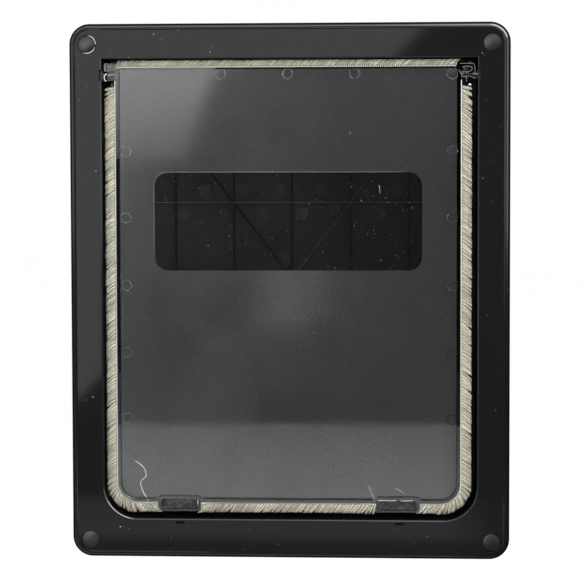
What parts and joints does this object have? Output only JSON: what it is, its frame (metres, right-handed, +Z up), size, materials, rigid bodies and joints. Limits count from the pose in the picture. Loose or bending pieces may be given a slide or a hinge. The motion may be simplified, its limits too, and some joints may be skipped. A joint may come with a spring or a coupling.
{
  "type": "cat flap",
  "caption": "Large framed pet flap for a door: telescoping frames, a smoky brush-edged flap on pivot pins, magnets and a lift-out closing panel.",
  "frame": {"origin": "under the middle of the frame's bottom edge, half way through its depth", "axes": "+X to the right of the person facing the outer face, +Y from them into the door, +Z up"},
  "size_m": [0.391, 0.062, 0.477],
  "materials": {
    "frame_plastic": "satin-gloss moulded black",
    "panel_plastic": "satin moulded black with ejector marks",
    "smoky_clear": "smoky clear plastic, frosted apart from a polished window",
    "brush_pile": "beige grey wool pile on a pale woven backing",
    "magnet": "dull ferrite",
    "pin_steel": "bright drawn steel",
    "screw_steel": "zinc plated steel",
    "bush_plastic": "matt moulded black"
  },
  "bodies": {
    "frame": {"front_frame": "frame_plastic", "rear_frame": "frame_plastic", "hinge_bush_left": "bush_plastic", "hinge_bush_right": "bush_plastic", "threshold_magnet_left": "magnet", "threshold_magnet_right": "magnet", "magnet_holder_left": "bush_plastic", "magnet_holder_right": "bush_plastic", "screw_caps": "frame_plastic", "fixing_screws": "screw_steel"},
    "flap": {"flap_panel": "smoky_clear", "brush_top": "brush_pile", "brush_left": "brush_pile", "brush_right": "brush_pile", "brush_bottom": "brush_pile", "flap_magnet_left": "magnet", "flap_magnet_right": "magnet", "pivot_pin_left": "pin_steel", "pivot_pin_right": "pin_steel"},
    "panel": {"closing_panel": "panel_plastic"}
  },
  "joints": [
    {"name": "flap_swing", "type": "hinge", "parent": "frame", "child": "flap", "pos_m": [0, -0.0185, 0.4313], "axis": [-1, 0, 0], "range_deg": [-4.5, 88]},
    {"name": "panel_lift", "type": "slide", "parent": "frame", "child": "panel", "axis": [0, 0, 1], "range_m": [0, 0.42]}
  ]
}
